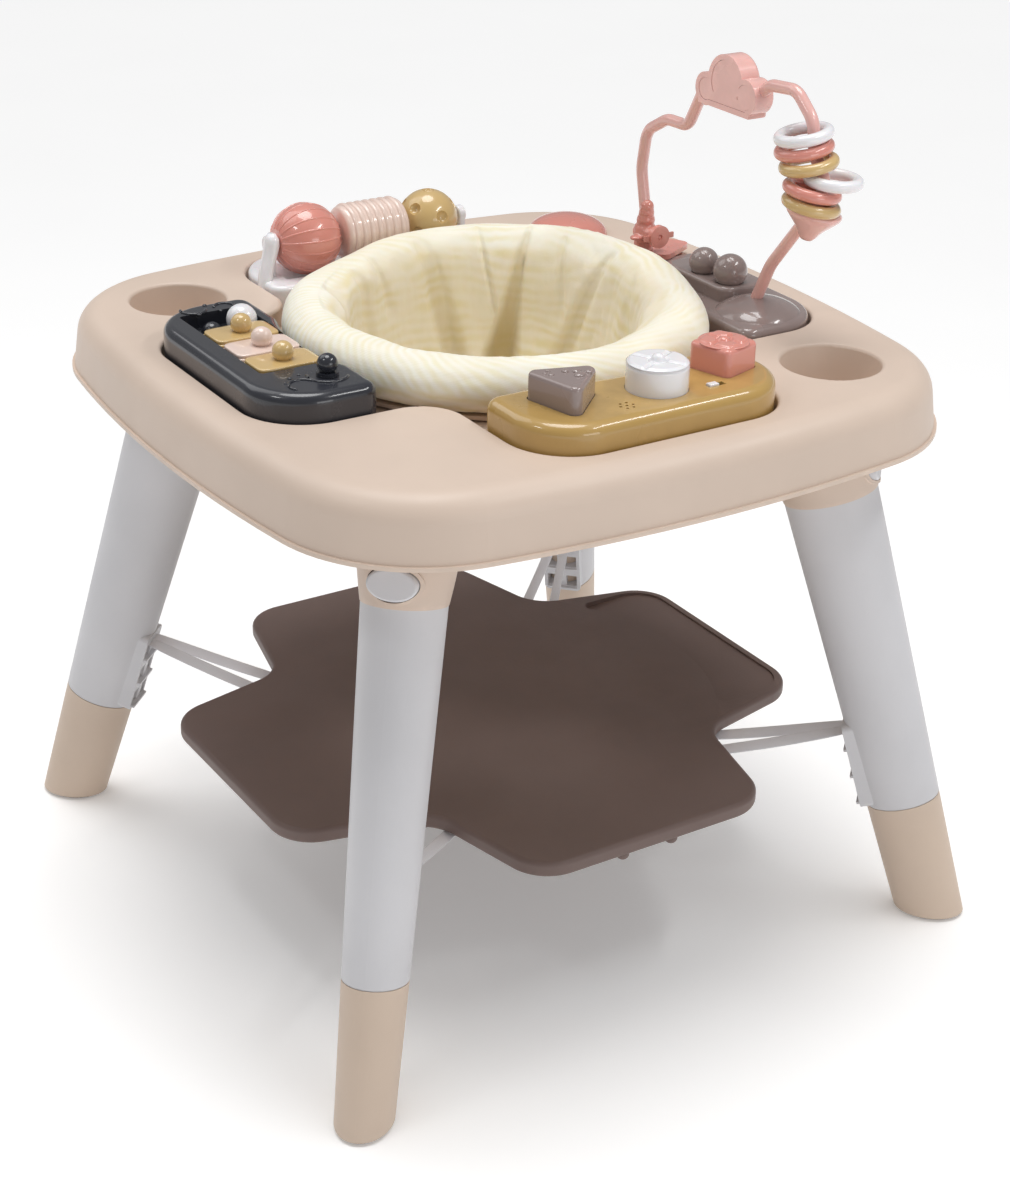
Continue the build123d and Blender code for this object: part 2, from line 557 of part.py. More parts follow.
def make_slide():
    turn_cut = Pos(230, -28, WELL_FLOOR + 50) * Box(200, 214, 100)
    base = toy_block("slide", WELL_FLOOR + 0.5, WELL_FLOOR + 24, 7) & turn_cut
    ledge = Pos(236, -10, WELL_FLOOR + 30) * Box(52, 96, 16)
    ledge = fillet(ledge.edges().filter_by(Axis.Z), 12)
    ledge = fillet(ledge.faces().sort_by(Axis.Z)[-1].edges(), 4)
    dome = ellipsoid((ARCH_X, -86, WELL_FLOOR + 14), (44, 42, 22))
    dome &= Pos(230, -28, WELL_FLOOR + 60) * Box(104, 240, 100)
    base += ledge + dome
    base -= lifted(WELL_FLOOR) * extrude(toy_outline("slide", 4), 18)
    path = arch_path()
    base -= sweep(Plane(origin=path @ 0, z_dir=path % 0) * Circle(ARCH_TUBE_R), path=path)
    for x, y, radius in TRACK_BALLS:
        base -= Pos(x, y, LEDGE_TOP + radius * 0.62) * Sphere(radius + 0.5)
    PARTS["slide_base"] = base
    for index, (x, y, radius) in enumerate(TRACK_BALLS):
        PARTS["track_ball_" + str(index + 1)] = Pos(x, y, LEDGE_TOP + radius * 0.62) * Sphere(radius)

    plate = Pos(*PLATE_XY, TRAY_TOP + 8.6) * turned(PLATE_TURN) * Box(52, 40, 5)
    plate = fillet(plate.edges().filter_by(Axis.Z), 8)
    foot = Pos(246, 95, (WELL_FLOOR + TRAY_TOP + 6) / 2) * turned(PLATE_TURN) * Box(24, 20, TRAY_TOP + 6 - WELL_FLOOR)
    plate += foot
    PARTS["plane_base_plate"] = plate & Pos(0, 0, WELL_FLOOR + 0.5 + 100) * Box(2000, 2000, 200)

    body = ellipsoid((ARCH_X, PLANE_YZ[0], PLANE_YZ[1]), (15, 20, 15))
    neck = Cone(12, 7.6, 20) - Cylinder(ARCH_TUBE_R, 30)
    body += Pos(ARCH_X, ARCH_ROUTE[0][0], PLANE_YZ[1] + 18) * neck
    body += Pos(ARCH_X, PLANE_YZ[0] + 4, PLANE_YZ[1] - 13) * Cylinder(8, 12)
    shaft = Pos(ARCH_X, PLANE_YZ[0] - 20, PLANE_YZ[1] + 2) * Rot(90, 0, 0) * Cylinder(2.5, 14)
    body += shaft
    body -= sweep(Plane(origin=path @ 0, z_dir=path % 0) * Circle(ARCH_TUBE_R), path=path)
    PARTS["plane_body"] = body - PARTS["plane_base_plate"]

    disc = Rot(90, 0, 0) * Cylinder(11, 5) + Box(34, 2, 5)
    disc -= Rot(90, 0, 0) * Cylinder(2.55, 30)
    PARTS["plane_propeller"] = Pos(ARCH_X, PLANE_YZ[0] - 24, PLANE_YZ[1] + 2) * disc


def make_spinner():
    dish = ellipsoid((SPINNER_XY[0], SPINNER_XY[1], TRAY_TOP + 0.5), (40, 40, 19))
    dish &= Pos(0, 0, TRAY_TOP + 0.5 + 50) * Box(2000, 2000, 100)
    PARTS["corner_spinner"] = dish


make_tray()
make_bearing()
for corner_name, corner_angle in CORNERS.items():
    make_leg(corner_name, corner_angle)
make_foot_pads()
make_seat()
make_platform()
make_straps()
make_piano()
make_music()
make_rollers()
make_arch()
make_slide()
make_spinner()

os.makedirs("parts", exist_ok=True)
for node, shape in PARTS.items():
    export_step(shape, "parts/" + node + ".step")
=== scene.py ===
"""Looks for the activity jumper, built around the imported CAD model. Lengths are in metres."""
import json
import math

import bmesh
import bpy
import numpy as np
from mathutils import Matrix, Vector, noise


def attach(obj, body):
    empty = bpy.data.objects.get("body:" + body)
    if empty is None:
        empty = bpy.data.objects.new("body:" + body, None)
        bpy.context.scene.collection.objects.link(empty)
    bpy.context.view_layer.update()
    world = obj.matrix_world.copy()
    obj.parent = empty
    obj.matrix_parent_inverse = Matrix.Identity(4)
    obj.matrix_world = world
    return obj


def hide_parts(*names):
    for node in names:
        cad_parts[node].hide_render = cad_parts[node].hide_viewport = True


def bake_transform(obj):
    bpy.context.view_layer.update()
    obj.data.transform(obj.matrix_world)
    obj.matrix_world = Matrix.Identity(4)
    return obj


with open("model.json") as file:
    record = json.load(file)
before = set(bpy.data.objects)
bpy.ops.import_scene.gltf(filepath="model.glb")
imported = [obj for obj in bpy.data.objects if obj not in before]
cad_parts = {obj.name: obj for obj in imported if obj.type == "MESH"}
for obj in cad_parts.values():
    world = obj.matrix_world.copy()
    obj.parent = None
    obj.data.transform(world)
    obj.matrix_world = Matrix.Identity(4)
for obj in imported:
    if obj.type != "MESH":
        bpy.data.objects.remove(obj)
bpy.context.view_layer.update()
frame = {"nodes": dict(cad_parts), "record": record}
NODES = frame["nodes"]
CORNERS = {"sw": 225, "se": 315, "ne": 45, "nw": 135}      # the legs' azimuths in degrees
VIEW_TURN = math.radians(32.63)          # the camera looks this far from +Y towards +X
RIGHT = Vector((math.cos(VIEW_TURN), -math.sin(VIEW_TURN), 0))
AWAY = Vector((math.sin(VIEW_TURN), math.cos(VIEW_TURN), 0))
FLOOR_SIZE = 60
ARCH_TURN = 57.4                         # the arch's plane, and the tilt of the stop on it, in degrees
STOP_TILT = 11.2


# ---------------------------------------------------------------- camera, light and floor
def add_camera():
    yaw, pitch, roll = VIEW_TURN, math.radians(26.46), math.radians(1.21)
    ahead = Vector((math.sin(yaw) * math.cos(pitch), math.cos(yaw) * math.cos(pitch), -math.sin(pitch)))
    up = RIGHT.cross(ahead)
    right = RIGHT * math.cos(roll) + up * math.sin(roll)
    up = up * math.cos(roll) - RIGHT * math.sin(roll)
    turn = Matrix((right, up, -ahead)).transposed().to_4x4()
    data = bpy.data.cameras.new("camera")
    data.lens = 67.87
    data.sensor_width = data.sensor_height = 36
    camera = bpy.data.objects.new("camera", data)
    camera.matrix_world = Matrix.Translation((-1.0211, -1.6204, 1.2267)) @ turn
    bpy.context.scene.collection.objects.link(camera)
    bpy.context.scene.camera = camera


def add_light(name, kind, place, target, power, **settings):
    data = bpy.data.lights.new(name, kind)
    data.energy = power
    for key, value in settings.items():
        setattr(data, key, value)
    light = bpy.data.objects.new(name, data)
    light.location = place
    light.rotation_euler = (Vector(target) - Vector(place)).to_track_quat("-Z", "Y").to_euler()
    bpy.context.scene.collection.objects.link(light)


def add_studio():
    world = bpy.data.worlds.new("studio")
    world.use_nodes = True
    world.node_tree.nodes["Background"].inputs[0].default_value = (1.0, 1.0, 1.0, 1)
    world.node_tree.nodes["Background"].inputs[1].default_value = 0.28
    bpy.context.scene.world = world
    add_light("overhead", "SUN", (0.05, 0.14, 1), (0, 0, 0), 1.6, angle=math.radians(34))
    add_light("back", "AREA", (-0.55, 0.85, 1.55), (-0.1, 0.1, 0.5), 3.6, shape="RECTANGLE", size=0.9, size_y=0.9)
    add_light("strip", "AREA", (0.6, -0.72, 1.62), (0, -0.1, 0.55), 4.6, shape="RECTANGLE", size=0.8, size_y=0.12)
    add_light("front", "AREA", (0.15, -1.95, 0.85), (0, -0.1, 0.5), 4.2, shape="RECTANGLE", size=0.9, size_y=0.5)
    add_light("left", "AREA", (-1.15, -0.1, 1.7), (0, 0, 0.55), 1.7, shape="RECTANGLE", size=0.3, size_y=0.16)
    bpy.context.scene.view_settings.view_transform = "Standard"


# ---------------------------------------------------------------- materials
def linear(rgb):
    out = []
    for value in rgb:
        c = value / 255
        out.append(c / 12.92 if c <= 0.04045 else ((c + 0.055) / 1.055) ** 2.4)
    return (*out, 1)


class Mat:
    """A node material with object coordinates and short helpers."""

    def __init__(self, name):
        self.mat = bpy.data.materials.new(name)
        self.mat.use_nodes = True
        self.tree = self.mat.node_tree
        self.shader = self.tree.nodes["Principled BSDF"]
        self.coord = self.tree.nodes.new("ShaderNodeTexCoord").outputs["Object"]

    def node(self, kind, **settings):
        made = self.tree.nodes.new(kind)
        for key, value in settings.items():
            setattr(made, key, value)
        return made

    def link(self, source, target):
        self.tree.links.new(source, target)

    def noise(self, scale, detail=3.0, coord=None):
        made = self.node("ShaderNodeTexNoise")
        made.inputs["Scale"].default_value = scale
        made.inputs["Detail"].default_value = detail
        self.link(coord or self.coord, made.inputs["Vector"])
        return made.outputs["Fac"]

    def ramp(self, value, low, high, start=0.0, end=1.0):
        made = self.node("ShaderNodeMapRange")
        made.inputs["From Min"].default_value = start
        made.inputs["From Max"].default_value = end
        made.inputs["To Min"].default_value = low
        made.inputs["To Max"].default_value = high
        self.link(value, made.inputs["Value"])
        return made.outputs["Result"]

    def mix(self, value, first, second):
        made = self.node("ShaderNodeMix", data_type="RGBA")
        self.link(value, made.inputs["Factor"])
        for socket, colour in ((made.inputs["A"], first), (made.inputs["B"], second)):
            if isinstance(colour, tuple):
                socket.default_value = colour
            else:
                self.link(colour, socket)
        return made.outputs["Result"]

    def maths(self, operation, first, second=0.0):
        made = self.node("ShaderNodeMath", operation=operation)
        for socket, value in ((made.inputs[0], first), (made.inputs[1], second)):
            if isinstance(value, (int, float)):
                socket.default_value = value
            else:
                self.link(value, socket)
        return made.outputs[0]

    def bump(self, height, strength, distance, before=None):
        made = self.node("ShaderNodeBump")
        made.inputs["Strength"].default_value = strength
        made.inputs["Distance"].default_value = distance
        self.link(height, made.inputs["Height"])
        if before is not None:
            self.link(before, made.inputs["Normal"])
        return made.outputs["Normal"]


def plastic(name, rgb, rough=0.3, grain=0.00006, grain_scale=900, coat=0.0, wear=0.8, subsurface=0.0):
    """Moulded plastic: slight colour drift, moulded grain, uneven gloss and paler worn edges."""
    m = Mat(name)
    base = linear(rgb)
    deep = tuple(c * 0.93 for c in base[:3]) + (1,)
    pale = tuple(min(1.0, c * 1.10 + 0.01) for c in base[:3]) + (1,)
    colour = m.mix(m.ramp(m.noise(7.0, 4), 0, 1, 0.35, 0.65), deep, base)
    worn = m.ramp(m.node("ShaderNodeNewGeometry").outputs["Pointiness"], 0, 1, 0.52, 0.60)
    scuffs = m.maths("MULTIPLY", worn, m.ramp(m.noise(60, 4), 0.15 * wear, wear, 0.4, 0.62))
    m.link(m.mix(scuffs, colour, pale), m.shader.inputs["Base Color"])
    m.link(m.ramp(m.noise(11, 5), rough - 0.045, rough + 0.055, 0.35, 0.65), m.shader.inputs["Roughness"])
    m.link(m.bump(m.noise(grain_scale, 2), 0.5, grain), m.shader.inputs["Normal"])
    m.shader.inputs["Coat Weight"].default_value = coat
    m.shader.inputs["Coat Roughness"].default_value = 0.03
    m.shader.inputs["Subsurface Weight"].default_value = subsurface
    m.shader.inputs["Subsurface Scale"].default_value = 0.004
    m.shader.inputs["IOR"].default_value = 1.48
    return m.mat


def seat_fabric():
    """Cream cloth printed with broken, wavy pale yellow lines: level on the wall, turning on the roll; painted shade
    turns it brown deep in the tucks.
    """
    m = Mat("seat_fabric")
    roll = m.node("ShaderNodeAttribute", attribute_name="stripe").outputs["Fac"]
    wall = m.node("ShaderNodeAttribute", attribute_name="wall").outputs["Fac"]
    tuck_shade = m.node("ShaderNodeAttribute", attribute_name="tuck_shade").outputs["Fac"]
    height = m.node("ShaderNodeSeparateXYZ")
    m.link(m.coord, height.inputs[0])
    warp = m.ramp(m.noise(13, 3), -1, 1, 0.3, 0.7)
    lines = []
    for place, period, sway in ((roll, 0.0080, 4.2), (height.outputs["Z"], 0.0110, 5.2)):
        phase = m.maths("MULTIPLY", place, 2 * math.pi / period)
        phase = m.maths("ADD", phase, m.maths("MULTIPLY", warp, sway))
        lines.append(m.ramp(m.maths("SINE", phase), 0, 1, -0.9, 0.9))
    strength = m.ramp(m.noise(30, 4), 0.12, 1.0, 0.36, 0.64)
    on_roll = m.mix(m.maths("MULTIPLY", lines[0], strength), linear((248, 245, 232)), linear((241, 234, 204)))
    on_wall = m.mix(m.maths("MULTIPLY", lines[1], strength), linear((243, 234, 214)), linear((234, 221, 178)))
    tone = m.mix(wall, on_roll, on_wall)
    tone = m.mix(m.ramp(m.noise(9, 3), 0, 0.4, 0.4, 0.7), tone, linear((236, 224, 188)))
    # painted shade: deep in the tucks the cloth is blended towards brown, standing in for the shadow in the crease
    tone = m.mix(m.maths("MULTIPLY", tuck_shade, 0.8), tone, linear((182, 158, 100)))
    m.link(tone, m.shader.inputs["Base Color"])
    m.shader.inputs["Roughness"].default_value = 0.86
    m.shader.inputs["Sheen Weight"].default_value = 0.2
    m.shader.inputs["Sheen Roughness"].default_value = 0.5
    m.shader.inputs["Subsurface Weight"].default_value = 0.06
    m.shader.inputs["Subsurface Scale"].default_value = 0.006
    weave = m.node("ShaderNodeTexWave", wave_type="BANDS", bands_direction="Z")
    weave.inputs["Scale"].default_value = 380
    m.link(m.coord, weave.inputs["Vector"])
    cross = m.node("ShaderNodeTexWave", wave_type="BANDS", bands_direction="DIAGONAL")
    cross.inputs["Scale"].default_value = 300
    m.link(m.coord, cross.inputs["Vector"])
    thread = m.maths("ADD", weave.outputs["Fac"], cross.outputs["Fac"])
    normal = m.bump(thread, 0.35, 0.00012)
    m.link(m.bump(m.noise(34, 4), 0.6, 0.0022, normal), m.shader.inputs["Normal"])
    return m.mat


def webbing():
    """Flat woven tape with fine slanting ribs."""
    m = Mat("webbing")
    ribs = m.node("ShaderNodeTexWave", wave_type="BANDS", bands_direction="DIAGONAL")
    ribs.inputs["Scale"].default_value = 420
    m.link(m.coord, ribs.inputs["Vector"])
    tape = m.mix(ribs.outputs["Fac"], linear((222, 221, 226)), linear((236, 235, 239)))
    m.link(tape, m.shader.inputs["Base Color"])
    m.link(m.ramp(m.noise(80, 2), 0.7, 0.85), m.shader.inputs["Roughness"])
    m.shader.inputs["Sheen Weight"].default_value = 0.2
    m.link(m.bump(ribs.outputs["Fac"], 0.35, 0.0001), m.shader.inputs["Normal"])
    return m.mat


def steel():
    m = Mat("steel")
    m.shader.inputs["Metallic"].default_value = 1.0
    m.link(m.mix(m.noise(40, 4), linear((170, 171, 174)), linear((205, 205, 208))), m.shader.inputs["Base Color"])
    m.link(m.ramp(m.noise(300, 2), 0.25, 0.4), m.shader.inputs["Roughness"])
    m.link(m.bump(m.noise(1200, 2), 0.3, 0.00004), m.shader.inputs["Normal"])
    return m.mat


MATS = {
    "tray": plastic("tray_plastic", (219, 199, 183), 0.42, 0.00007, 700),
    "tube": plastic("tube_plastic", (217, 216, 219), 0.44, 0.00006, 800, wear=0.0),
    "foot": plastic("foot_plastic", (218, 197, 178), 0.45, 0.00008, 800, wear=0.0),
    "rubber": plastic("foot_rubber", (96, 86, 80), 0.75, 0.0002, 500),
    "platform": plastic("platform_plastic", (118, 99, 93), 0.5, 0.00016, 420),
    "mustard": plastic("mustard_plastic", (213, 181, 122), 0.3, coat=0.9),
    "ochre": plastic("ochre_plastic", (191, 155, 87), 0.3, coat=0.9),
    "slate": plastic("slate_plastic", (42, 44, 52), 0.26, coat=0.6),
    "taupe": plastic("taupe_plastic", (150, 133, 129), 0.26, coat=0.9),
    "white": plastic("white_plastic", (242, 241, 244), 0.26, coat=0.7, subsurface=0.05),
    "coral": plastic("coral_plastic", (226, 148, 134), 0.26, coat=0.9, subsurface=0.05),
    "pink": plastic("arch_plastic", (238, 186, 178), 0.26, coat=0.8, subsurface=0.05),
    "blush": plastic("blush_plastic", (240, 216, 204), 0.28, coat=0.8),
    "fabric": seat_fabric(),
    "webbing": webbing(),
    "steel": steel(),
}
SLOT_MATS = {
    "tray": "tray", "frame_grey": "tube", "warm_beige": "foot", "foot_rubber": "rubber", "fabric_cream": "fabric",
    "platform_brown": "platform", "webbing": "webbing", "mustard": "mustard", "slate": "slate", "taupe": "taupe",
    "white": "white", "coral": "coral", "arch_pink": "pink", "blush": "blush", "steel": "steel",
}


def paint(piece, mat):
    piece.data.materials.clear()
    piece.data.materials.append(MATS[mat])


def paint_cad():
    for part in frame["record"]["subparts"]:
        paint(NODES[part["node"]], SLOT_MATS[part["material_slot"]])
    paint(NODES["music_housing"], "ochre")


def make_floor():
    """Plain pale paper; the slight glow keeps it as light as a studio sweep."""
    bpy.ops.mesh.primitive_plane_add(size=FLOOR_SIZE, location=(0, 0, -0.0005))
    floor = bpy.context.object
    floor.name = "floor"
    m = Mat("floor_paper")
    m.link(m.mix(m.noise(3, 2), linear((246, 246, 246)), linear((249, 249, 249))), m.shader.inputs["Base Color"])
    m.shader.inputs["Roughness"].default_value = 0.9
    m.shader.inputs["Emission Color"].default_value = (1, 1, 1, 1)
    m.shader.inputs["Emission Strength"].default_value = 0.19
    floor.data.materials.append(m.mat)


# ---------------------------------------------------------------- mesh helpers
def add_piece(name, verts, faces, mat, body, smooth=True):
    mesh = bpy.data.meshes.new(name)
    mesh.from_pydata([tuple(v) for v in verts], [], faces)
    mesh.validate()
    piece = bpy.data.objects.new(name, mesh)
    bpy.context.scene.collection.objects.link(piece)
    finish_piece(piece, mat, body, smooth)
    return piece


def finish_piece(piece, mat, body, smooth=True):
    mend = bmesh.new()
    mend.from_mesh(piece.data)
    bmesh.ops.recalc_face_normals(mend, faces=mend.faces)
    mend.to_mesh(piece.data)
    mend.free()
    piece.data.polygons.foreach_set("use_smooth", [smooth] * len(piece.data.polygons))
    paint(piece, mat)
    if body:
        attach(piece, body)


def apply_all(piece):
    bpy.context.view_layer.objects.active = piece
    for modifier in list(piece.modifiers):
        with bpy.context.temp_override(object=piece, active_object=piece, selected_objects=[piece]):
            bpy.ops.object.modifier_apply(modifier=modifier.name)


def coords(piece):
    out = np.zeros(len(piece.data.vertices) * 3)
    piece.data.vertices.foreach_get("co", out)
    return out.reshape(-1, 3)


def set_coords(piece, points):
    piece.data.vertices.foreach_set("co", np.asarray(points, float).ravel())
    piece.data.update()


def smoothstep(low, high, value):
    t = np.clip((value - low) / (high - low), 0, 1)
    return t * t * (3 - 2 * t)


def spline(points, steps):
    """Catmull-Rom curve through a closed loop of points, with so many steps to each run."""
    points = np.array(points, float)
    total = len(points)
    out = []
    for index in range(total):
        p0, p1, p2, p3 = (points[(index + k - 1) % total] for k in range(4))
        for t in np.linspace(0, 1, steps, endpoint=False):
            out.append(0.5 * (2 * p1 + (p2 - p0) * t + (2 * p0 - 5 * p1 + 4 * p2 - p3) * t ** 2
                              + (3 * p1 - p0 - 3 * p2 + p3) * t ** 3))
    return np.array(out)


# ---------------------------------------------------------------- the seat
FAR_TURN = math.radians(57.4)
LEG_HOLES = (180, 270)
RING_CLEAR = 0.1482       # the cover's inner face stays inside the seat ring's wall
# closed sections of the cover in (r, z), in millimetres, from the underside outwards: a roll on the near side,
# a tall crest on the far side whose inner face slopes straight down, and a wide slope on the right
NEAR_SECTION = (
    (152, 536), (177, 534), (188, 543), (190, 557), (184, 570), (167, 578), (150, 575), (140, 565), (136, 548),
    (134, 520), (131, 488), (123, 452), (101, 420), (68, 394),
)
FAR_SECTION = (
    (152, 538), (177, 537), (189, 552), (191, 570), (187, 584), (180, 590.5), (170, 588.5), (158, 579), (147, 565),
    (140, 538), (132, 490), (121, 452), (100, 420), (68, 394),
)
RIGHT_SECTION = (
    (152, 538), (178, 536), (189.5, 548), (189.5, 560), (183, 573), (170, 581), (152, 579), (136, 567), (129, 549),
    (127, 524), (124, 490), (117, 454), (98, 420), (68, 394),
)
FLOOR_SECTION = (
    (30, 384), (0, 383), (0, 373), (30, 373), (74, 383), (112, 408), (136, 452), (145, 498), (148.5, 532),
)
# how much of the far section the cover has, by azimuth in degrees
CREST_AT = (-35, -20, -8, 4, 17, 26, 39, 57, 69, 78, 89, 100, 110, 126)
CREST_SHARE = (0, 0.1, 0.4, 0.72, 0.86, 0.96, 0.95, 0.92, 0.88, 0.8, 0.64, 0.42, 0.18, 0)
# tucks on the inner wall: top and bottom as (azimuth in degrees, z), half width at top and bottom, and depth
TUCKS = (
    (47.5, 580, 57.5, 440, 2.6, 17.0, 8.0, 17.0), (86, 580, 72.5, 440, 8.0, 11.0, 6.0, 10.0),
    (65, 592, 59.5, 530, 1.6, 2.0, 3.0, 3.0), (13, 580, 27, 480, 4.0, 10.0, 5.0, 8.0),
    (110, 586, 106, 540, 3.0, 5.0, 4.0, 4.0), (138, 584, 150, 540, 3.0, 9.0, 6.0, 8.0),
    (-6, 572, -12, 520, 5.0, 6.0, 2.5, 3.0), (122, 575, 118, 470, 5.0, 9.0, 4.0, 6.0),
    (34, 584, 31, 530, 2.4, 4.0, 4.0, 3.0), (47, 596, 47.5, 566, 1.4, 1.6, 2.4, 3.0),
    (200, 560, 205, 470, 6.0, 8.0, 4.0, 6.0), (250, 560, 246, 470, 6.0, 8.0, 4.0, 6.0),
    (300, 560, 296, 470, 6.0, 8.0, 4.0, 6.0),
)


def section_shares(angle):
    """How much of the far crest and of the right-hand slope the cover has at this angle."""
    turn = (math.degrees(angle) + 360) % 360
    turn = turn - 360 if turn > 237 else turn
    far = float(np.interp(turn, CREST_AT, CREST_SHARE))
    return far, float(smoothstep(-80, -30, turn) * smoothstep(34, -16, turn)) * (1 - far)


def seat_body_mesh():
    turns = 132
    rings = []
    for index in range(turns):
        angle = 2 * math.pi * index / turns
        far, right = section_shares(angle)
        section = [tuple(n * (1 - far - right) + f * far + r * right for n, f, r in zip(near, crest, slope))
                   for near, crest, slope in zip(NEAR_SECTION, FAR_SECTION, RIGHT_SECTION)] + list(FLOOR_SECTION)
        rings.append([(max(r, 0) * math.cos(angle) / 1000, max(r, 0) * math.sin(angle) / 1000, z / 1000)
                      for r, z in spline(section, 3)])
    count = len(rings[0])
    verts = [point for ring in rings for point in ring[:count]]
    faces = []
    for i in range(turns):
        j = (i + 1) % turns
        for k in range(count):
            n = (k + 1) % count
            faces.append((i * count + k, i * count + n, j * count + n, j * count + k))
    return verts, faces


def cut_leg_holes(piece):
    for turn in LEG_HOLES:
        bpy.ops.mesh.primitive_cylinder_add(vertices=48, radius=0.040, depth=0.13,
                                            location=(0.115 * math.cos(math.radians(turn)),
                                                      0.115 * math.sin(math.radians(turn)), 0.412),
                                            rotation=(0, math.pi / 2, math.radians(turn)))
        cutter = bpy.context.object
        cut = piece.modifiers.new("hole", "BOOLEAN")
        cut.object = cutter
        cut.solver = "EXACT"
        apply_all(piece)
        bpy.data.objects.remove(cutter)


def puff(piece, voxel, cap, frames=20):
    """Swells a closed mesh as stuffed cloth, with how far each point moves capped."""
    remesh = piece.modifiers.new("remesh", "REMESH")
    remesh.mode = "VOXEL"
    remesh.voxel_size = voxel
    apply_all(piece)
    start = coords(piece)
    cloth = piece.modifiers.new("cloth", "CLOTH")
    cloth.settings.use_pressure = True
    cloth.settings.uniform_pressure_force = 4
    cloth.settings.quality = 5
    cloth.settings.effector_weights.gravity = 0
    cloth.settings.tension_stiffness = 12
    cloth.settings.compression_stiffness = 6
    cloth.settings.bending_stiffness = 0.4
    cloth.point_cache.frame_start = 1
    cloth.point_cache.frame_end = frames
    for number in range(1, frames + 1):
        bpy.context.scene.frame_set(number)
    apply_all(piece)
    bpy.context.scene.frame_set(1)
    moved = coords(piece) - start
    length = np.linalg.norm(moved, axis=1)
    factor = cap * np.tanh(length / cap) / np.maximum(length, 1e-9)
    set_coords(piece, start + moved * factor[:, None])


def seat_folds(points):
    """Presses tucks, ripples and gathers into the swelled cover, and says how far each point lies in a tuck, the mask
    for the painted shade there.
    """
    x, y, z = points.T
    radius = np.hypot(x, y)
    azimuth = np.degrees(np.arctan2(y, x))
    wall_r = np.interp(z, (0.40, 0.42, 0.452, 0.49, 0.538, 0.565, 0.579, 0.60),
                       (0.090, 0.105, 0.126, 0.137, 0.145, 0.152, 0.163, 0.190))
    inside = smoothstep(0.006, -0.004, radius - wall_r) * smoothstep(0.40, 0.44, z)
    deep = np.interp(z, (0.42, 0.47, 0.49, 0.515, 0.555, 0.57, 0.585), (17, 14, 10, 5.5, 3.5, 3.5, 7.0)) / 1000
    outward = np.zeros_like(radius)
    tuck_shade = np.zeros_like(radius)
    for top, top_z, bottom, bottom_z, width_a, width_b, depth_a, depth_b in TUCKS:
        share = (top_z / 1000 - z) / ((top_z - bottom_z) / 1000)
        line = top + (bottom - top) * np.clip(share, -0.3, 1.4)
        off = (azimuth - line + 180) % 360 - 180
        arc = np.radians(off) * radius * 1000
        inner_share = np.clip(share, 0, 1)
        width = width_a + (width_b - width_a) * inner_share ** 1.4
        depth = depth_a + (depth_b - depth_a) * inner_share
        fade = smoothstep(-0.12, 0.1, share) * (1 - smoothstep(1.2, 1.6, share))
        valley = 1 / (1 + np.abs(arc / width) ** 5)
        lip = np.exp(-((np.abs(arc) - 1.7 * width - 2) / (0.7 * width + 2)) ** 2)
        pressed = np.minimum(depth * valley / 1000, deep)
        outward += fade * (pressed - 0.14 * lip * np.minimum(depth / 1000, deep))
        # how deep each point lies in a tuck: the mask for the painted shade in the cloth
        tuck_shade = np.maximum(tuck_shade, fade * valley * np.clip((depth - 5) / 9, 0, 1) * (np.abs(arc) < width * 1.6))
    lower = smoothstep(0.50, 0.47, z) * smoothstep(0.40, 0.44, z)
    moves = np.maximum(inside, lower)
    ripple = np.array([noise.noise(Vector((math.cos(math.radians(a)) * 4.2, math.sin(math.radians(a)) * 4.2, h * 6)))
                       for a, h in zip(azimuth, z)])
    crease = np.array([noise.noise(Vector((p[0] * 21, p[1] * 21, p[2] * 15 + 7))) for p in points])
    small = np.array([noise.noise(Vector((a * 0.42, h * 38, 3))) for a, h in zip(azimuth, z)])
    outward = outward * moves + (0.0052 * ripple + 0.0026 * crease + 0.0010 * small) * inside
    gather = np.exp(-((radius - 0.147) / 0.012) ** 2) * smoothstep(0.553, 0.566, z)
    swell = 0.0016 * crease * smoothstep(0.12, 0.135, radius) + 0.0013 * small * gather
    unit = np.stack([x, y, np.zeros_like(x)], 1) / np.maximum(radius, 1e-6)[:, None]
    lifted = np.stack([np.zeros_like(x), np.zeros_like(x), swell * (z > 0.55)], 1)
    outward += swell * 0.5
    limit = np.interp(z, (0.48, 0.497, 0.567, 0.577, 0.585), (0.17, RING_CLEAR, RING_CLEAR, 0.158, 0.25))
    outward = np.where(inside > 0.3, np.minimum(outward, np.maximum(limit - radius, -0.004)), outward)
    return points + unit * outward[:, None] + lifted, tuck_shade * inside


def stripe_values(points):
    """How far each point of the roll lies across the printed lines, whose direction turns around the seat."""
    x, y, z = points.T
    across = x * RIGHT.x + y * RIGHT.y
    away = x * AWAY.x + y * AWAY.y
    beta = (np.degrees(np.arctan2(away, across)) + 360) % 360
    table_at = [0, 45, 90, 130, 180, 225, 270, 315, 360]
    table_turn = [-14, -8, 0, -45, -90, -62, -31, -20, -14]
    turn = np.radians(np.interp(beta, table_at, table_turn))
    steps = np.linspace(0, 360, 721)
    along = np.concatenate([[0], np.cumsum(np.sin(np.radians(np.interp(steps[:-1], table_at, table_turn))))])
    along *= 0.165 * math.radians(0.5)
    return (0.19 - np.hypot(x, y)) * np.cos(turn) - np.interp(beta, steps, along) + (z - 0.55) * 0.35


def add_values(piece, name, values):
    piece.data.attributes.new(name, "FLOAT", "POINT").data.foreach_set("value", values.astype(np.float32))


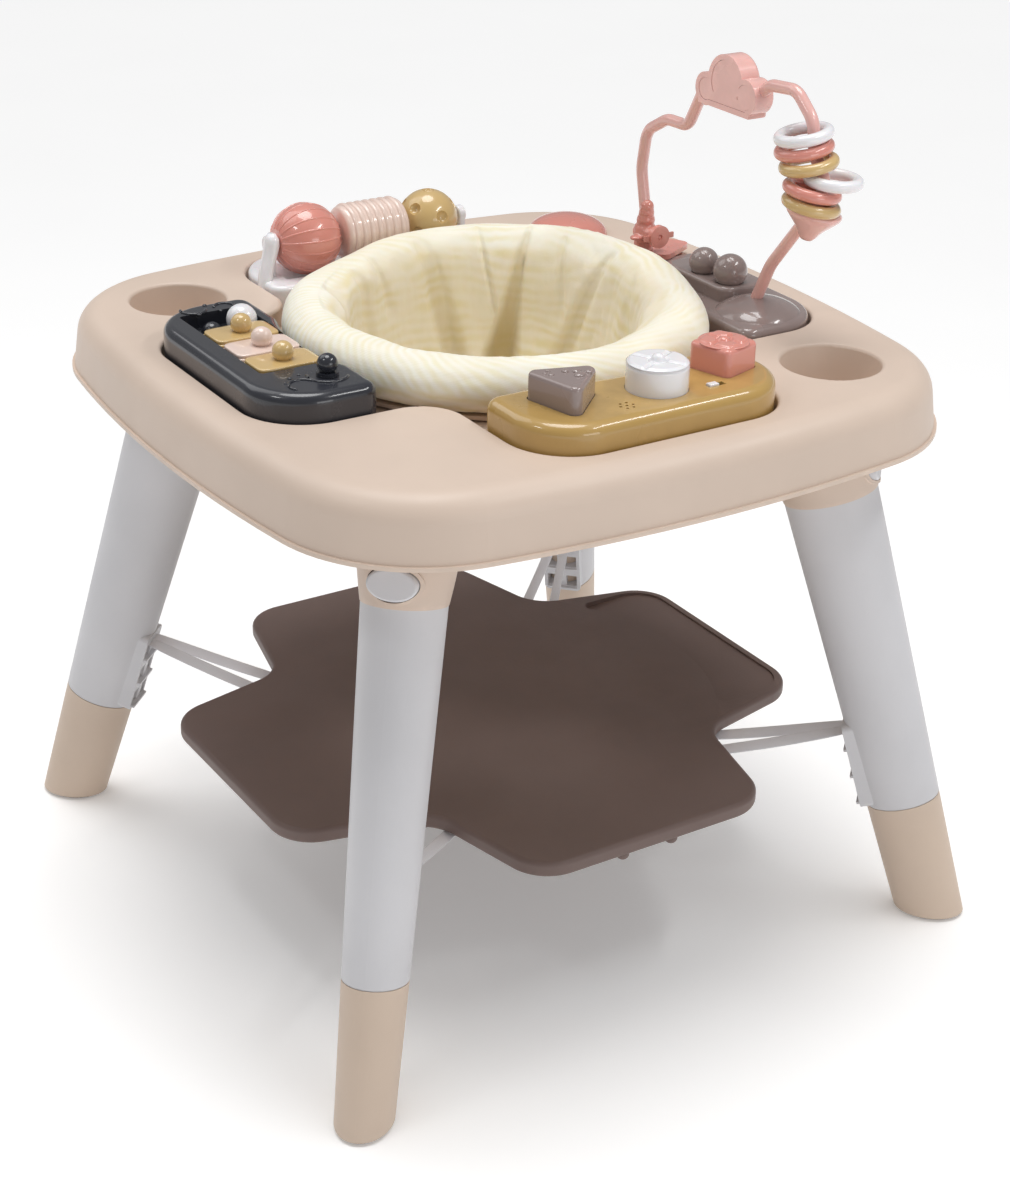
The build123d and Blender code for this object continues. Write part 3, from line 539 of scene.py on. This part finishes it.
def make_seat_cover():
    verts, faces = seat_body_mesh()
    mesh = bpy.data.meshes.new("seat_cover")
    mesh.from_pydata(verts, [], faces)
    piece = bpy.data.objects.new("seat_cover", mesh)
    bpy.context.scene.collection.objects.link(piece)
    mend = bmesh.new()
    mend.from_mesh(mesh)
    bmesh.ops.remove_doubles(mend, verts=mend.verts, dist=1e-6)
    bmesh.ops.delete(mend, geom=[edge for edge in mend.edges if edge.is_wire], context="EDGES")
    bmesh.ops.recalc_face_normals(mend, faces=mend.faces)
    mend.to_mesh(mesh)
    mend.free()
    cut_leg_holes(piece)
    puff(piece, 0.005, 0.004)
    divide = piece.modifiers.new("divide", "SUBSURF")
    divide.levels = divide.render_levels = 1
    apply_all(piece)
    flat = coords(piece)
    points, tuck_shade = seat_folds(flat)
    set_coords(piece, points)
    add_values(piece, "stripe", stripe_values(flat))
    add_values(piece, "wall", np.maximum(smoothstep(0.153, 0.144, np.hypot(flat[:, 0], flat[:, 1])),
                                         smoothstep(0.556, 0.548, flat[:, 2])))
    # the tuck mask, which the cloth uses for painted shade
    add_values(piece, "tuck_shade", tuck_shade)
    finish_piece(piece, "fabric", "seat")
    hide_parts("seat_rim_pad", "seat_bucket")


# ---------------------------------------------------------------- straps
STRAP_STEPS, STRAP_HALF, STRAP_THICK, STRAP_SAG = 28, 0.0053, 0.0006, 0.0015
STRAP_ROLL = math.radians(42)              # the tape's middle rolls this far, towards the viewer
STRAP_EDGE = ((-1, -0.6), (-0.86, -1), (0.86, -1), (1, -0.6), (1, 0.6), (0.86, 1), (-0.86, 1), (-1, 0.6))


def strap_mesh(top, end, near):
    """A flat eight-sided tape from the leg's hook to the board's notch."""
    verts, faces, count = [], [], len(STRAP_EDGE)
    for index in range(STRAP_STEPS + 1):
        t = index / STRAP_STEPS
        point = top.lerp(end, t) - Vector((0, 0, STRAP_SAG * math.sin(math.pi * t)))
        roll = STRAP_ROLL * near * math.sin(math.pi * t) ** 0.5
        wide = Vector((0, math.cos(roll), math.sin(roll)))
        deep = Vector((-0.27 * math.cos(roll), -math.sin(roll), 0.96 * math.cos(roll)))
        for across, up in STRAP_EDGE:
            verts.append(point + wide * (STRAP_HALF * across) + deep * (STRAP_THICK * up))
    for index in range(STRAP_STEPS):
        for k in range(count):
            n = (k + 1) % count
            faces.append((index * count + k, index * count + n, index * count + count + n, index * count + count + k))
    faces.append(tuple(range(count)))
    faces.append(tuple(range(STRAP_STEPS * count + count - 1, STRAP_STEPS * count - 1, -1)))
    return verts, faces


def make_straps():
    first = True
    for corner, turn in CORNERS.items():
        for side in (-1, 1):
            top = Vector((0.3462, side * 0.0055, 0.1862))
            end = Vector((0.2035, side * 0.017, 0.1455))
            spin = Matrix.Rotation(math.radians(turn), 3, "Z")
            near = 1 if (spin @ Vector((0, 1, 0))).dot(AWAY) > 0 else -1
            verts, faces = strap_mesh(top, end, near)
            piece = add_piece(f"strap_{corner}_{'a' if side < 0 else 'b'}", [spin @ v for v in verts], faces,
                              "webbing", None)
            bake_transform(piece)
            if first:
                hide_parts("platform_straps")
                first = False


# ---------------------------------------------------------------- small mouldings
def ring_faces(rows, count, closed=True):
    faces = []
    for row in range(rows - 1):
        for k in range(count if closed else count - 1):
            n = (k + 1) % count
            faces.append((row * count + k, row * count + n, (row + 1) * count + n, (row + 1) * count + k))
    return faces


def add_relief(name, centre, radius, height, mat, body):
    """A round field of raised moulding on a flat top; height(r, turn) in millimetres says how far it stands up."""
    rings, turns = 26, 96
    verts = [Vector((centre[0], centre[1], centre[2] + height(0.01, 0)))]
    for row in range(1, rings + 1):
        r = radius * row / rings
        for k in range(turns):
            turn = 2 * math.pi * k / turns
            up = -0.6 if row == rings else height(r, turn)
            verts.append(Vector((centre[0] + r * math.cos(turn), centre[1] + r * math.sin(turn), centre[2] + up)))
    faces = [(0, 1 + k, 1 + (k + 1) % turns) for k in range(turns)]
    faces += [tuple(v + 1 for v in face) for face in ring_faces(rings, turns)]
    faces.append(tuple(range(1 + (rings - 1) * turns, 1 + rings * turns))[::-1])
    return add_piece(name, [v / 1000 for v in verts], faces, mat, body)


def petals(r, turn, count, start, inner, outer, gap):
    """1 on so many petals set around a hub, 0 in the grooves between them."""
    across = abs(math.sin((turn - start) * count / 2)) * r * 2 / count
    between = smoothstep(inner, inner + 1.2, r) * smoothstep(outer, outer - 2, r)
    return float(smoothstep(gap, gap + 1.4, across) * between)


def add_tube(name, points, radii, mat, body, flat=1.0):
    """A rounded bar through the points, in millimetres; flat squeezes it sideways."""
    verts, count = [], 14
    points = [Vector(p) for p in points]
    for index, (point, radius) in enumerate(zip(points, radii)):
        along = (points[min(index + 1, len(points) - 1)] - points[max(index - 1, 0)]).normalized()
        side = along.cross(Vector((0, 1, 0.01))).normalized()
        other = along.cross(side)
        for k in range(count):
            turn = 2 * math.pi * k / count
            offset = side * (math.cos(turn) * radius * flat) + other * (math.sin(turn) * radius)
            verts.append((point + offset) / 1000)
    faces = ring_faces(len(points), count)
    faces += [tuple(range(count))[::-1], tuple(range((len(points) - 1) * count, len(points) * count))]
    return add_piece(name, verts, faces, mat, body)


def add_fused(name, balls, mat, body, voxel=0.0012, soften=3):
    """Ellipsoids melted into one soft shape: each is (centre, half sizes, turn about z in degrees), in mm."""
    work = bmesh.new()
    for centre, half, turn in balls:
        place = Matrix.Translation(Vector(centre) / 1000) @ Matrix.Rotation(math.radians(turn), 4, "Z")
        place = place @ Matrix.Diagonal((half[0] / 1000, half[1] / 1000, half[2] / 1000, 1))
        bmesh.ops.create_icosphere(work, subdivisions=4, radius=1, matrix=place)
    mesh = bpy.data.meshes.new(name)
    work.to_mesh(mesh)
    work.free()
    piece = bpy.data.objects.new(name, mesh)
    bpy.context.scene.collection.objects.link(piece)
    remesh = piece.modifiers.new("remesh", "REMESH")
    remesh.mode = "VOXEL"
    remesh.voxel_size = voxel
    smooth = piece.modifiers.new("smooth", "SMOOTH")
    smooth.iterations = soften
    apply_all(piece)
    finish_piece(piece, mat, body)
    return piece


def make_button_reliefs():
    def cross(r, turn):
        hub = 6.5 * math.sqrt(max(0.0, 1 - (r / 6.2) ** 2))
        return max(hub, 1.5 * petals(r, turn, 4, 0.5, 8.2, 25.0, 1.0))

    def flower(r, turn):
        hub = 3.4 * math.sqrt(max(0.0, 1 - (r / 5.4) ** 2))
        edge = 21 - 3.5 * abs(math.cos(2 * (turn - 0.35)))
        return max(hub, 1.7 * petals(r, turn, 4, 0.35, 7.0, edge, 1.1))

    add_relief("round_relief", (7, -236, 589), 26, cross, "white", "round_button_body")
    add_relief("square_relief", (83, -223, 589), 22, flower, "coral", "square_button_body")
    marks = [((-64, -224, 588.6), (4.6, 3.4, 2.6), 20), ((-72, -219.5, 588.6), (4.2, 3.2, 2.4), 60),
             ((-57, -230, 588.6), (3.8, 3.2, 2.4), -10), ((-66, -232, 588.6), (6.2, 4.4, 2.8), 25),
             ((-84, -213, 588.6), (2.2, 2.2, 1.8), 0), ((-89, -216, 588.6), (2.0, 2.0, 1.6), 0),
             ((-86, -221, 588.6), (3.4, 2.6, 1.9), 40)]
    add_fused("triangle_relief", marks, "taupe", "triangle_button_body", 0.0007, 1)


def arc(centre, radius, start, end, z, steps=22):
    turns = np.radians(np.linspace(start, end, steps))
    return [(centre[0] + radius * math.cos(t), centre[1] + radius * math.sin(t), z) for t in turns]


def make_piano_reliefs():
    for index, (centre, radius, start, end) in enumerate((
            ((-212, -81), 17, 150, 330), ((-240, -92), 12, 20, 220), ((-240, 116), 11, 150, 350),
            ((-212, 112), 9, -40, 170))):
        path = arc(centre, radius, start, end, 566.0)
        size = [0.6] + [1.5] * (len(path) - 2) + [0.6]
        add_tube(f"piano_ridge_{index + 1}", path, size, "slate", "frame")
    beads = [((-243, -74, 565.6), (2.4, 2.4, 2.0), 0), ((-251, -82, 565.6), (1.8, 1.8, 1.6), 0),
             ((-233, -70, 565.6), (1.8, 1.8, 1.6), 0), ((-226, 122, 565.6), (2.4, 2.4, 2.0), 0),
             ((-219, 104, 565.6), (1.8, 1.8, 1.6), 0), ((-240, 103, 565.6), (2.4, 2.0, 1.8), 0)]
    add_fused("piano_beads", beads, "slate", "frame", 0.0006, 1)


def make_key_tiles():
    """A pillowed, round-cornered tile on each piano key."""
    for index in range(3):
        middle = Vector((-227.5, 46.0 - 39.0 * index, 0))
        verts, count = [], 56
        levels = ((0.97, 562.5), (1.0, 564.6), (1.0, 565.6), (0.985, 566.4), (0.95, 566.9), (0.86, 567.2),
                  (0.5, 567.3))
        for share, z in levels:
            for k in range(count):
                turn = 2 * math.pi * k / count
                c, s = math.cos(turn), math.sin(turn)
                x = math.copysign(abs(c) ** 0.3, c) * 29.2
                y = math.copysign(abs(s) ** 0.3, s) * 18.0
                shrink = Vector((x, y, 0)) * (1 - (1 - share) * (1.0 if share < 0.9 else 0.5))
                verts.append((middle + shrink + Vector((0, 0, z))) / 1000)
        faces = ring_faces(len(levels), count)
        faces += [tuple(range(count))[::-1], tuple(range((len(levels) - 1) * count, len(levels) * count))]
        mat = "blush" if index == 1 else "mustard"
        add_piece(f"key_tile_{index + 1}", verts, faces, mat, f"piano_key_{index + 1}_body")


def make_stop():
    """The soft pear-shaped stop under the rings."""
    tilt = Matrix.Rotation(math.radians(ARCH_TURN), 3, "Z") @ Matrix.Rotation(math.radians(STOP_TILT), 3, "X")
    centre = Vector((227, -152, 650.9))
    profile = ((5.5, -17), (8, -14), (11, -9), (15.5, -4), (20.5, 1.0), (24.2, 5.2), (25.2, 7.6), (24.8, 9.4),
               (22.5, 10.2), (12, 10.4))
    verts, count = [], 48
    for radius, z in profile:
        for k in range(count):
            turn = 2 * math.pi * k / count
            bend = 1 - 0.05 * math.cos(turn)
            spot = Vector((radius * bend * math.cos(turn), radius * math.sin(turn), z))
            verts.append((centre + tilt @ spot) / 1000)
    faces = ring_faces(len(profile), count)
    faces += [tuple(range(count))[::-1], tuple(range((len(profile) - 1) * count, len(profile) * count))]
    add_piece("arch_stop", verts, faces, "pink", "frame")


def make_roller_arm():
    path = [(-121, 210, 529), (-122, 212, 538), (-120.5, 214.5, 548), (-116.5, 217.5, 558), (-112, 220.5, 568),
            (-109.5, 222, 576), (-109, 222, 582), (-109, 222, 587)]
    add_tube("roller_arm_w", path, [11, 9.5, 8.6, 8.4, 9.0, 9.8, 9.0, 4.5], "white", "frame", 0.74)
    rim = [(-121, 203, 528), (-112, 199, 529), (-98, 198, 529)]
    add_tube("roller_foot_w", rim, [6, 8, 6], "white", "frame", 0.8)


def make_plane():
    """The little plane at the arch's end: a trumpet under the tube, a round nose, wings and a tail."""
    balls = [((228, 94, 574), (11.5, 12, 12), 0), ((228, 85, 573), (8.5, 12, 8.5), 0), ((228, 76, 574), (6, 7, 6), 0),
             ((228, 93.2, 586), (9.0, 9.0, 8), 0), ((228, 92.6, 593), (7.6, 7.6, 8), 0),
             ((228, 92.2, 599), (6.8, 6.8, 7), 0), ((228, 96, 562), (9, 9, 8), 0), ((228, 97, 556), (11, 10, 5), 0),
             ((216, 90, 571), (8, 6, 2.6), 12), ((240, 90, 571), (8, 6, 2.6), -12)]
    piece = add_fused("plane_cover", balls, "coral", "frame", 0.0011, 4)
    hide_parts("plane_body")


def make_hook_liners():
    """The pale lining seen through the strap holes, inside each leg."""
    foot_out, rise, top_out = 438.0, 420.6, 308.8      # the leg's line, from the floor to the tray
    tilt = math.atan2(foot_out - top_out, rise)
    for corner, turn in CORNERS.items():
        place = (Matrix.Rotation(math.radians(turn), 4, "Z") @ Matrix.Translation((foot_out, 0, 0))
                 @ Matrix.Rotation(-tilt, 4, "Y"))
        verts, heights, turns = [], (128, 150, 172, 194, 214), np.radians(np.linspace(145, 215, 15))
        for shell in (3.6, 5.2):
            for z in heights:
                share = z / 440.0
                radial = 31.5 + 11 * share - shell
                tangent = 25.0 + 10 * share - shell
                for t in turns:
                    verts.append(place @ Vector((radial * math.cos(t), tangent * math.sin(t), z)) / 1000)
        rows, count = len(heights), len(turns)
        faces = ring_faces(rows, count, False)
        back = rows * count
        faces += [tuple(v + back for v in face[::-1]) for face in faces]
        for row in range(rows - 1):
            for k in (0, count - 1):
                a, b = row * count + k, (row + 1) * count + k
                faces.append((a, b, b + back, a + back))
        for row in (0, rows - 1):
            for k in range(count - 1):
                a, b = row * count + k, row * count + k + 1
                faces.append((a, b, b + back, a + back))
        add_piece(f"hook_liner_{corner}", verts, faces, "foot", "frame")


add_camera()
add_studio()
paint_cad()
make_seat_cover()
make_straps()
make_button_reliefs()
make_piano_reliefs()
make_key_tiles()
make_stop()
make_roller_arm()
make_plane()
make_hook_liners()
make_floor()
